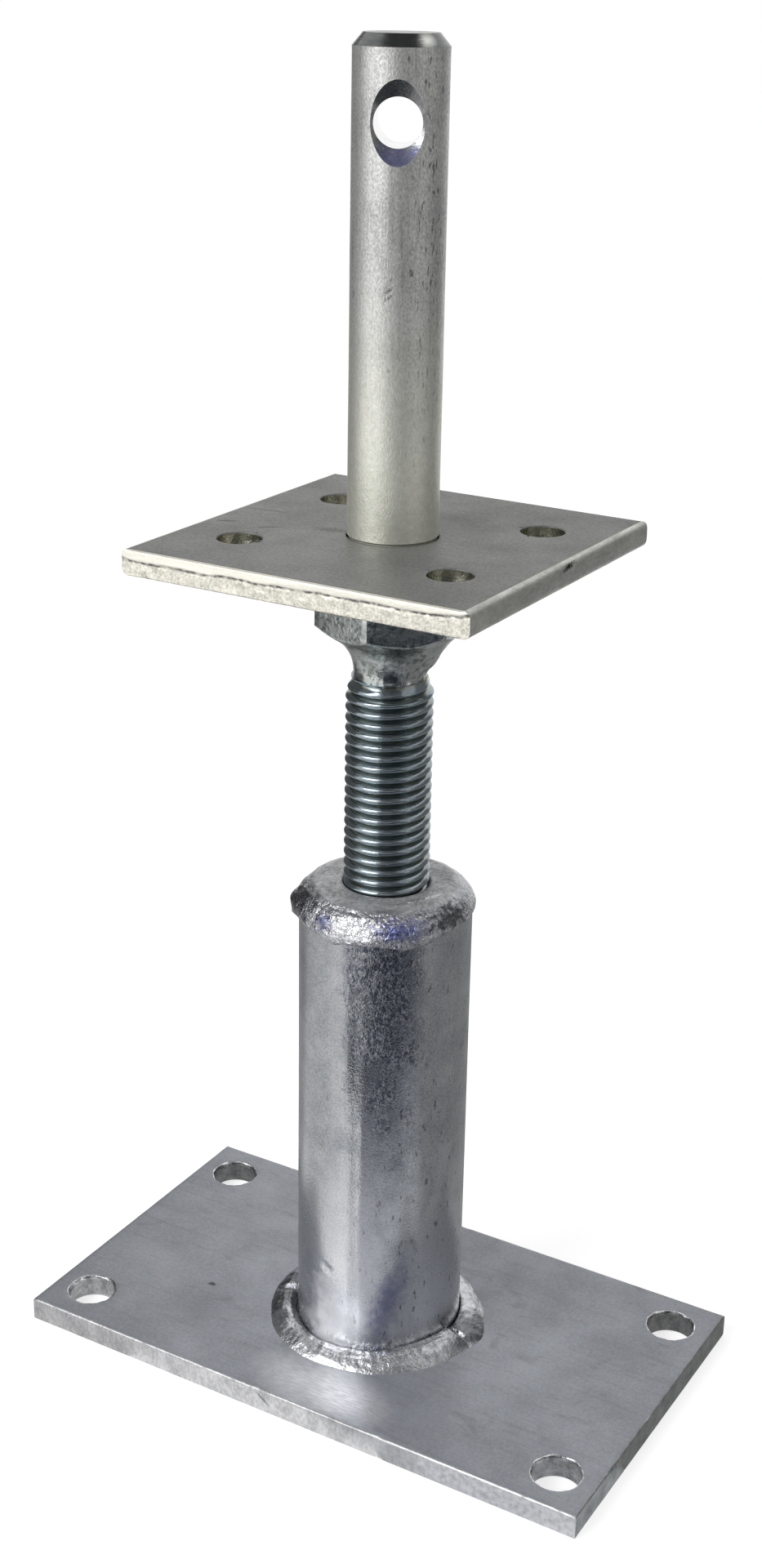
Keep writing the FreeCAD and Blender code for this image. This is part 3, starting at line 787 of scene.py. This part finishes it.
def bush_cap():
    """The flat of the tapped bush and the lumpy bead that laps over the sleeve's rim."""
    points = [
        (BUSH_BORE, BUSH_BOTTOM, 0), (BUSH_BORE, BUSH_TOP - 0.4, 1), (BUSH_BORE + 0.4, BUSH_TOP, 5),
        (17.5, BUSH_TOP - 0.1, 5), (20.5, BUSH_TOP - 0.5, 5), (22.3, BUSH_TOP - 1.4, 5),
        (23.6, BUSH_TOP - 2.8, 4), (24.5, TUBE_TOP + 0.6, 4), (24.95, TUBE_TOP - 1.0, 4),
        (25.1, TUBE_TOP - 2.4, 4), (24.9, TUBE_TOP - 3.7, 3), (TUBE_RADIUS, TUBE_TOP - 4.4, 0),
        (TUBE_RADIUS - 0.2, TUBE_TOP - 4.5, 0), (TUBE_RADIUS - 0.2, TUBE_TOP + 0.02, 0),
        (TUBE_BORE - 0.1, TUBE_TOP + 0.02, 0), (TUBE_BORE - 0.1, BUSH_BOTTOM, 0),
    ]
    bm = turned(points, steps=300, closed=True)
    bead = bm.verts.layers.float.new("bead")
    painted_ridge_highlight = bm.verts.layers.float.new("painted_ridge_highlight")
    for vert in bm.verts:
        place = vert.co.copy()
        radius = place.xy.length
        turn = turn_of(place)
        outside = place.z > TUBE_TOP + 0.1 or radius > TUBE_RADIUS - 0.1
        if radius < BUSH_BORE + 0.5 or not outside:
            continue
        share = eased(18.5, 22.0, radius + 0.8 * lumps(place, 4.0, 9))
        outward = Vector((place.x, place.y, 0)).normalized() * max(0.0, radius - 20.5)
        outward.z = place.z - TUBE_TOP + 1.5
        outward.normalize()
        drawn = place.xy.normalized().to_3d() * 7 + Vector((0, 0, radius - place.z))
        swell = 0.45 * lumps(drawn, 3.0, 2) + 0.26 * lumps(drawn, 1.4, 5) + 0.10 * lumps(drawn, 0.8, 7)
        swell += 0.22 * lumps(place, 3.0, 4)
        swell *= 0.5 + 0.5 * eased(10, -25, turn)
        swell += 1.5 * bulge(turn, -152, 18) * eased(TUBE_TOP + 3, TUBE_TOP - 2, place.z)
        vert.co = place + outward * (swell - 0.15) * share
        sag = 1.3 * bulge(turn, -96, 9) + 0.9 * bulge(turn, -47, 10) + 0.9 * bulge(turn, -155, 6)
        sag += 0.5 * lumps(place, 7.0, 3) - 2.3 * eased(-45, -2, turn)
        vert.co.z -= sag * eased(TUBE_TOP - 0.5, TUBE_TOP - 4.0, place.z) * (radius > TUBE_RADIUS - 0.05)
        vert.co.z += 0.12 * lumps(place, 3.0, 1) * (1 - share) - 0.12
        ridge = hump(radius, 17.2 - 0.9 * bulge(turn, -28, 14), 0.5)
        ridge *= eased(-62, -50, turn) * eased(4, -8, turn)
        vert.co.z += 0.6 * ridge
        vert[bead] = max(share, ridge)
        # The ridge is marked for a painted highlight.
        vert[painted_ridge_highlight] = ridge
    nodes = ["threaded_bush", "bush_weld"]
    return finished("bush_cap_piece", bm, "base", nodes, [cap_finish()], sharp=60)


# Zinc plated spindle and head

def thread_turns(low, high, steps=64, cuts=11):
    """The rounded screw thread between two heights, closed at both ends."""
    bm = bmesh.new()
    start = SPINDLE_FOOT - THREAD_PITCH / 2
    start += math.floor((low - start) / THREAD_PITCH - 1) * THREAD_PITCH
    foot = bm.verts.new((THREAD_CREST, 0, start))
    head = bm.verts.new((THREAD_CREST, 0, start + THREAD_PITCH))
    rise = bm.edges.new((foot, head))
    bmesh.ops.subdivide_edges(bm, edges=[rise], cuts=cuts)
    for vert in bm.verts:
        from_crest = abs(2 * (vert.co.z - start) / THREAD_PITCH - 1)
        vert.co.x = THREAD_CREST - (THREAD_CREST - THREAD_ROOT) * from_crest ** 2.1
    bmesh.ops.spin(
        bm, geom=bm.verts[:] + bm.edges[:], cent=(0, 0, 0), axis=(0, 0, 1),
        dvec=(0, 0, THREAD_PITCH / steps), angle=math.tau, steps=steps,
    )
    first_turn = bm.verts[:] + bm.edges[:] + bm.faces[:]
    for turn in range(1, math.ceil((high - start) / THREAD_PITCH) + 1):
        copied = bmesh.ops.duplicate(bm, geom=first_turn)["geom"]
        verts = [v for v in copied if isinstance(v, bmesh.types.BMVert)]
        bmesh.ops.translate(bm, vec=(0, 0, turn * THREAD_PITCH), verts=verts)
    bmesh.ops.remove_doubles(bm, verts=bm.verts, dist=0.002)
    for height, way in ((low, 1), (high, -1)):
        bmesh.ops.bisect_plane(
            bm, geom=bm.verts[:] + bm.edges[:] + bm.faces[:], dist=0.0005,
            plane_co=(0, 0, height), plane_no=(0, 0, way), clear_inner=True,
        )
        rim = [e for e in bm.edges if e.is_boundary and abs(e.verts[0].co.z - height) < 0.01]
        bmesh.ops.edgeloop_fill(bm, edges=rim)
    return bm


def spindle_head():
    """Neck, flare, hexagon and spigot, spun and then pressed to six flats."""
    foot = THREAD_TOP - 2.0
    points = [(0, foot, 0), (NECK_RADIUS, foot, 6)]
    for step in range(9):
        angle = FLARE_TURN * step / 8
        radius = NECK_RADIUS + FLARE_ROUND * (1 - math.cos(angle))
        points.append((radius, NECK_TOP + FLARE_ROUND * math.sin(angle), 18 if step == 8 else 0))
    points += [
        (HEX_CORNER, HEX_CORNER_BOTTOM, 14), (HEX_CORNER, HEX_TOP, 5), (SPIGOT_RADIUS, HEX_TOP, 0),
        (SPIGOT_RADIUS, SPIGOT_TOP - 1, 0), (SPIGOT_RADIUS - 1, SPIGOT_TOP, 0), (0, SPIGOT_TOP, 0),
    ]
    bm = turned(points, steps=120)
    for vert in bm.verts:
        radius = vert.co.xy.length
        if radius < SPIGOT_RADIUS + 0.5:
            continue
        step = math.tau / 6
        from_flat = math.atan2(vert.co.y, vert.co.x) % step - step / 2
        reach = HEX_ACROSS_FLATS / 2 / math.cos(from_flat)
        pressed = -0.35 * math.log(math.exp(-radius / 0.35) + math.exp(-reach / 0.35))
        pressed += 0.10 * lumps(vert.co, 4.0, 3) * eased(12, 16, radius)
        pressed += 0.22 * lumps(vert.co, 2.0, 6) * eased(NECK_TOP + 2, NECK_TOP - 1, vert.co.z)
        heavy = 2.3 * bulge(turn_of(vert.co) + math.degrees(HEX_TURN), FLARE_HEAVY_TURN, 48)
        heavy *= eased(NECK_TOP, NECK_TOP + 4, vert.co.z)
        heavy *= eased(HEX_CORNER_BOTTOM, HEX_CORNER_BOTTOM - 6, vert.co.z)
        vert.co.xy = vert.co.xy * (min(pressed + heavy, reach) / radius)
    bmesh.ops.rotate(bm, cent=(0, 0, 0), matrix=Matrix.Rotation(HEX_TURN, 3, "Z"), verts=bm.verts)
    return bm


def spindle():
    bm = thread_turns(SPINDLE_FOOT, THREAD_TOP)
    flank = bm.verts.layers.float.new("lower_flank")
    bm.normal_update()
    for vert in bm.verts:
        radius = vert.co.xy.length
        if radius < 1:
            continue
        # Marks the flanks that face down, where the thread's finish paints an olive reflection.
        vert[flank] = eased(-0.78, -0.92, vert.normal.z)
        fade = eased(THREAD_TOP - 0.8, THREAD_TOP - 4.5, vert.co.z)
        kept = THREAD_ROOT - 0.2 + (radius - THREAD_ROOT + 0.2) * (0.25 + 0.75 * fade)
        kept += 0.25 * (1 - fade) * lumps(vert.co, 2.2, 4)
        vert.co.xy = vert.co.xy * (min(kept, THREAD_CREST) / radius)
    head = spindle_head()
    for face in head.faces:
        face.material_index = 1
    joined = bpy.data.meshes.new("spindle_head")
    head.to_mesh(joined)
    head.free()
    bm.from_mesh(joined)
    bpy.data.meshes.remove(joined)
    finishes = [thread_finish(), flare_finish()]
    return finished("spindle_piece", bm, "spindle", ["spindle"], finishes)


def top_plate():
    """A square cut from rolled flat bar: two sheared edges, and two rolled ones across X."""
    thickness = PLATE_TOP - PLATE_BOTTOM
    flat_x = PLATE_SIDE - 2 * ROLLED_ROUND
    flat_y = PLATE_SIDE - 2 * SHEARED_ROUND
    holes = corner_holes(SCREW_X, SCREW_Y, SCREW_HOLE_RADIUS) + [(0, 0, PIN_HOLE)]
    bm = drilled_slab(flat_x, flat_y, low=PLATE_BOTTOM, high=PLATE_TOP, spacing=1.0, holes=holes, rows=22)
    torn = bm.verts.layers.float.new("torn")
    break_line = bm.verts.layers.float.new("break_line")
    mark_walls(bm, flat_x, flat_y, PLATE_TOP - SCREW_HOLE_LIP)
    for vert in bm.verts:
        place = vert.co.copy()
        share = (PLATE_TOP - place.z) / thickness
        at_rolled = abs(place.x) > flat_x / 2 - 0.01
        at_sheared = abs(place.y) > flat_y / 2 - 0.01
        if at_rolled:
            depth = crowded_depth(share, thickness)
            push = ROLLED_ROUND - rounded_inset(depth, thickness, ROLLED_ROUND, 2.0)
            push -= 0.06 + 0.06 * lumps(place, 6.0, 2)
            nick = hump(place.y, ROLLED_NICK_Y, 1.8) * hump(depth, ROLLED_NICK_DEPTH, 0.5) * (place.x > 0)
            vert.co.x += (push - 0.4 * nick) * math.copysign(1, place.x)
        if at_sheared:
            depth = thickness * share
            along = Vector((place.x, place.y, 0))
            break_at = 2.6 + 0.45 * lumps(along, 9.0, 1) + 0.25 * lumps(along, 2.0, 4) - 0.012 * place.x
            push = SHEARED_ROUND - rounded_inset(depth, thickness, SHEARED_ROUND, 0.5)
            vert[torn] = eased(break_at - 0.2, break_at + 0.3, depth)
            # The break line also carries painted shade in the edge's finish.
            vert[break_line] = hump(depth, break_at, 0.28)
            grain = 0.16 * lumps(place, 1.3, 6) + 0.10 * lumps(place, 0.6, 9)
            push -= vert[torn] * (0.18 + grain) + 0.22 * vert[break_line] + 0.02
            push -= 0.10 * max(0.0, lumps(along, 2.5, 8)) * eased(1.0, 0.0, depth)
            vert.co.y += min(push, SHEARED_ROUND) * math.copysign(1, place.y)
        if at_rolled or at_sheared:
            vert.co.z = PLATE_TOP - (crowded_depth(share, thickness) if at_rolled else thickness * share)
            continue
        for x, y, radius in holes:
            away = Vector((place.x - x, place.y - y, 0))
            if away.length < radius + 0.01:
                depth = crowded_depth(share, thickness)
                rim = 0.0 if radius == PIN_HOLE else 0.12 * lumps(place, 1.8, 5) * eased(4.0, 0.5, depth)
                open_up = rounded_inset(depth, thickness, 0.3, 0.3) + rim
                vert.co.xy = Vector((x, y)) + away.xy * (1 + open_up / radius)
                vert.co.z = PLATE_TOP - depth
    hole_wall = plain_zinc(
        "zinc_plated_hole", rgb(0.28, 0.28, 0.23), rgb(0.66, 0.65, 0.56), (0.16, 0.36),
        cloud=3, speck=0.7, relief=0.12,
    )
    finishes = [top_plate_finish(), sheared_edge_finish(), rolled_edge_finish(), hole_wall]
    return finished("top_plate_piece", bm, "head", ["top_plate"], finishes)


def cross_hole_cutter():
    """The cross hole with a drill-point countersink at each mouth, ready to cut from the pin."""
    mouth = PIN_RADIUS + 1
    sink = PIN_RADIUS - (COUNTERSINK_RADIUS - CROSS_HOLE_RADIUS) / COUNTERSINK_SLOPE
    mouth_radius = COUNTERSINK_RADIUS + COUNTERSINK_SLOPE
    section = [
        (0, -mouth, 0), (mouth_radius, -mouth, 12), (CROSS_HOLE_RADIUS, -sink, 12),
        (CROSS_HOLE_RADIUS, sink, 12), (mouth_radius, mouth, 0), (0, mouth, 0),
    ]
    bm = turned(section, steps=96)
    for face in bm.faces:
        middle = face.calc_center_median()
        if abs(middle.z) < sink and middle.xy.length < CROSS_HOLE_RADIUS + 0.05:
            face.material_index = 1
    for angle, axis in ((math.pi / 2, "Y"), (CROSS_HOLE_TURN, "Z")):
        bmesh.ops.rotate(bm, cent=(0, 0, 0), matrix=Matrix.Rotation(angle, 3, axis), verts=bm.verts)
    bmesh.ops.translate(bm, vec=(0, 0, CROSS_HOLE_HEIGHT), verts=bm.verts)
    bmesh.ops.recalc_face_normals(bm, faces=bm.faces)
    bmesh.ops.scale(bm, vec=(MM, MM, MM), verts=bm.verts)
    return placed("cross_hole_cutter", bm)


def dowel_pin():
    chamfer_foot = PIN_TOP - PIN_CHAMFER_LENGTH
    foot_top = PLATE_TOP + PIN_RADIUS - PIN_SHANK
    section = [
        (0, PIN_BORE_TOP, 0), (PIN_BORE, PIN_BORE_TOP, 0), (PIN_BORE, PLATE_BOTTOM, 0),
        (PIN_SHANK, PLATE_BOTTOM, 0), (PIN_SHANK, PLATE_TOP, 0), (PIN_RADIUS, foot_top, 95),
        (PIN_RADIUS, chamfer_foot, 3), (PIN_RADIUS - PIN_CHAMFER_INSET, PIN_TOP, 8), (0, PIN_TOP, 0),
    ]
    bm = turned(section, steps=128)
    for face in bm.faces:
        height = face.calc_center_median().z
        if height > chamfer_foot + 0.05:
            face.material_index = 2 if height > PIN_TOP - 0.05 else 1
    for vert in bm.verts:
        place = vert.co.copy()
        on_wall = abs(place.xy.length - PIN_RADIUS) <= 0.01
        if not on_wall or place.z > chamfer_foot - 0.1 or place.z < foot_top + 0.1:
            continue
        dent = 0.04 + 0.04 * lumps(place * Vector((1, 1, 0.3)), 6.0, 3)
        sideways = degrees_from(turn_of(place), PIN_NICK_TURN) * PIN_ARC
        dent += 0.35 * slanted_nick(sideways, place.z - PIN_NICK_HEIGHT, 0.8, 2.2)
        vert.co.xy = place.xy * (1 - dent / PIN_RADIUS)
    sawn_zinc = plain_zinc(
        "zinc_plated_sawn", grey(0.26), rgb(0.46, 0.455, 0.44), (0.30, 0.42),
        cloud=4, speck=0.35, relief=0.04,
    )
    bored_zinc = plain_zinc(
        "zinc_plated_bore", rgb(0.74, 0.74, 0.73), rgb(0.95, 0.95, 0.94), (0.07, 0.16),
        cloud=3, speck=0.6, relief=0.02,
    )
    finishes = [pin_finish(), chamfer_finish(), sawn_zinc]
    piece = finished("dowel_pin_piece", bm, "head", ["dowel_pin"], finishes)
    cutter = cross_hole_cutter()
    cutter.data.materials.append(countersink_finish())
    cutter.data.materials.append(bored_zinc)
    cut = piece.modifiers.new("cross_hole", "BOOLEAN")
    cut.object = cutter
    cut.operation = "DIFFERENCE"
    cut.solver = "EXACT"
    cut.material_mode = "TRANSFER"
    bpy.context.view_layer.update()
    drilled = bpy.data.meshes.new_from_object(piece.evaluated_get(bpy.context.evaluated_depsgraph_get()))
    piece.modifiers.clear()
    piece.data = drilled
    drilled.shade_smooth()
    drilled.set_sharp_from_angle(angle=math.radians(30))
    bpy.data.objects.remove(cutter)
    return piece


def pin_weld():
    """The weld under the plate keeps its solid and takes the plate's dull zinc."""
    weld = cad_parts["pin_weld"]
    weld.data.materials.clear()
    weld_zinc = plain_zinc(
        "zinc_plated_weld", rgb(0.20, 0.20, 0.19), rgb(0.38, 0.38, 0.36), (0.28, 0.45),
        cloud=4, speck=0.8, relief=0.2,
    )
    weld.data.materials.append(weld_zinc)


# Studio

def direction(azimuth, elevation):
    """The unit vector towards a place in the studio; azimuth 0 is towards -Y and 90 towards +X."""
    turn = math.radians(azimuth)
    rise = math.radians(elevation)
    flat = math.cos(rise)
    return Vector((math.sin(turn) * flat, -math.cos(turn) * flat, math.sin(rise)))


def seen_directly(tree):
    """1 for the rays of the camera, of reflections and of see-through surfaces."""
    path = tree.nodes.new("ShaderNodeLightPath")
    seen = path.outputs["Is Camera Ray"]
    for name in ("Is Glossy Ray", "Is Transmission Ray"):
        either = wired(tree, "ShaderNodeMath", {0: seen, 1: path.outputs[name]}, operation="MAXIMUM")
        seen = either.outputs[0]
    return seen


def white_world():
    world = bpy.data.worlds.new("white_studio")
    bpy.context.scene.world = world
    world.use_nodes = True
    tree = world.node_tree
    ambient = tree.nodes["Background"]
    ambient.inputs["Color"].default_value = grey(1)
    ambient.inputs["Strength"].default_value = AMBIENT_LEVEL
    shown = wired(tree, "ShaderNodeBackground", {"Color": grey(1), "Strength": 1.0})
    choice = {0: seen_directly(tree), 1: ambient.outputs[0], 2: shown.outputs[0]}
    pick = wired(tree, "ShaderNodeMixShader", choice)
    tree.links.new(pick.outputs[0], tree.nodes["World Output"].inputs["Surface"])


def pale_floor():
    bm = bmesh.new()
    bmesh.ops.create_grid(bm, x_segments=1, y_segments=1, size=6.0)
    floor = placed("floor", bm)
    floor.location.z = -FLOOR_DROP
    material = bpy.data.materials.new("pale_floor")
    material.use_nodes = True
    tree = material.node_tree
    paper = tree.nodes["Principled BSDF"]
    paper.inputs["Base Color"].default_value = grey(FLOOR_TONE)
    paper.inputs["Roughness"].default_value = 0.9
    paper.inputs["Specular IOR Level"].default_value = 0.1
    paper.inputs["Emission Color"].default_value = grey(1)
    glow = wired(tree, "ShaderNodeMath", {0: seen_directly(tree), 1: FLOOR_GLOW}, operation="MULTIPLY")
    tree.links.new(glow.outputs[0], paper.inputs["Emission Strength"])
    floor.data.materials.append(material)


def fade_in(tree, near_tone, far_tone, fade):
    """A colour that goes from a near tone to a far tone by the distance from the object's foot."""
    place = tree.nodes.new("ShaderNodeTexCoord").outputs["Object"]
    distance = wired(tree, "ShaderNodeVectorMath", {0: place}, operation="LENGTH").outputs["Value"]
    reach = {"Value": distance, "From Min": fade[0], "From Max": fade[1]}
    share = wired(tree, "ShaderNodeMapRange", reach).outputs[0]
    tones = {0: share, 6: near_tone, 7: far_tone}
    return wired(tree, "ShaderNodeMix", tones, data_type="RGBA").outputs[2]


def studio_card(name, start, end, section, tone, near_tone=None, fade=(0.0, 1.0)):
    """A curved card round the object, seen only in reflections, swept in azimuth.

    Its section is of (radius, height), and its tone may fade in from a near tone between two
    distances from the object's foot."""
    bm = bmesh.new()
    way = direction(start, 0)
    verts = [bm.verts.new(way * radius + Vector((0, 0, height))) for radius, height in section]
    for pair in zip(verts, verts[1:]):
        bm.edges.new(pair)
    bmesh.ops.spin(
        bm, geom=bm.verts[:] + bm.edges[:], cent=(0, 0, 0), axis=(0, 0, 1),
        angle=math.radians(end - start), steps=24,
    )
    card = placed(name, bm)
    material = bpy.data.materials.new(name)
    material.use_nodes = True
    tree = material.node_tree
    tree.nodes.clear()
    colour = fade_in(tree, near_tone, tone, fade) if near_tone else tone
    glow = wired(tree, "ShaderNodeEmission", {"Color": colour})
    wired(tree, "ShaderNodeOutputMaterial", {"Surface": glow.outputs[0]})
    card.data.materials.append(material)
    card.visible_camera = False
    card.visible_diffuse = False
    card.visible_shadow = False
    card.visible_transmission = False


def softbox(name, azimuth, elevation, distance, width, height, power):
    """A rectangular lamp that faces the middle of the object."""
    lamp = bpy.data.lights.new(name, "AREA")
    lamp.shape = "RECTANGLE"
    lamp.size = width
    lamp.size_y = height
    lamp.energy = power
    holder = bpy.data.objects.new(name, lamp)
    away = direction(azimuth, elevation)
    holder.location = away * distance + Vector((0, 0, LAMP_AIM))
    holder.rotation_euler = away.to_track_quat("Z", "Y").to_euler()
    bpy.context.scene.collection.objects.link(holder)


def photo_camera():
    """The camera at the photograph's place."""
    azimuth = math.radians(CAMERA_AZIMUTH)
    roll = math.radians(CAMERA_ROLL)
    back = direction(CAMERA_AZIMUTH, CAMERA_ELEVATION)
    right = Vector((math.cos(azimuth), math.sin(azimuth), 0))
    up = back.cross(right)
    turned_right = right * math.cos(roll) + up * math.sin(roll)
    turned_up = up * math.cos(roll) - right * math.sin(roll)
    camera = bpy.data.cameras.new("photo_camera")
    camera.sensor_width = SENSOR_WIDTH
    camera.lens = FOCAL_PIXELS / IMAGE_HEIGHT * SENSOR_WIDTH
    camera.shift_x = (IMAGE_WIDTH / 2 - IMAGE_MIDDLE[0]) / IMAGE_HEIGHT
    camera.shift_y = (IMAGE_MIDDLE[1] - IMAGE_HEIGHT / 2) / IMAGE_HEIGHT
    camera.clip_start = 0.01
    camera.clip_end = 50.0
    holder = bpy.data.objects.new("photo_camera", camera)
    axes = Matrix((turned_right, turned_up, back)).transposed().to_4x4()
    place = Vector((0, 0, CAMERA_AIM)) + back * CAMERA_DISTANCE
    holder.matrix_world = Matrix.Translation(place) @ axes
    bpy.context.scene.collection.objects.link(holder)
    bpy.context.scene.camera = holder


# Cards: name, first and last azimuth, section, tone, and for some a near tone and where it fades
STUDIO_CARDS = (
    ("low_dark_card", -2, 56, ((0.06, 0.0), (0.33, 0.0)), DARK_TONE, rgb(0.54, 0.55, 0.58), (0.11, 0.215)),
    ("dark_side_card", -16, -2, ((0.19, 0.0), (0.33, 0.0)), DARK_TONE),
    (
        "low_grey_card", 56, 78, ((0.06, 0.0), (0.33, 0.0)), rgb(0.16, 0.17, 0.19),
        rgb(0.62, 0.63, 0.65), (0.12, 0.24),
    ),
    ("streak_card", -24, -2, ((0.075, 0.0), (0.42, -0.0001)), grey(0.86), grey(1.0), (0.17, 0.32)),
    ("left_streak_card", -42, -24, ((0.075, 0.0), (0.42, 0.0)), grey(0.90)),
    ("front_dark_card", 6, 78, ((0.33, 0.0), (0.34, 0.16)), DARK_TONE),
    ("front_low_card", 40, 62, ((0.34, 0.16), (0.34, 0.22)), grey(0.34)),
    ("front_grey_card", 0, 62, ((0.34, 0.22), (0.34, 0.75)), grey(0.18)),
    ("front_right_card", 62, 104, ((0.34, 0.16), (0.34, 0.75)), grey(0.58)),
    ("right_floor_card", 78, 200, ((0.055, 0.0), (0.42, 0.0)), grey(0.32)),
    ("right_grey_card", 90, 165, ((0.40, 0.0), (0.40, 0.45)), grey(0.24)),
    ("left_light_card", -64, -42, ((0.075, 0.0), (0.42, 0.0)), grey(0.80)),
    ("left_floor_card", -96, -64, ((0.095, 0.0), (0.42, 0.0)), grey(0.74)),
    ("left_back_card", -130, -96, ((0.055, 0.0), (0.42, 0.0)), grey(0.38)),
    ("left_grey_card", -130, -62, ((0.42, 0.0), (0.42, 0.55)), grey(0.14)),
    ("back_left_card", -160, -130, ((0.055, 0.0), (0.42, 0.0)), grey(0.12)),
    ("ceiling_card", 0, 360, ((0.05, 0.95), (0.32, 0.95)), grey(0.10)),
)


base_plate()
sleeve_tube()
base_bead()
bush_cap()
spindle()
top_plate()
dowel_pin()
pin_weld()

white_world()
pale_floor()
softbox("key_softbox", azimuth=-22, elevation=30, distance=1.1, width=0.7, height=0.5, power=6.0)
for card in STUDIO_CARDS:
    studio_card(*card)
photo_camera()
bpy.context.scene.view_settings.view_transform = "Standard"
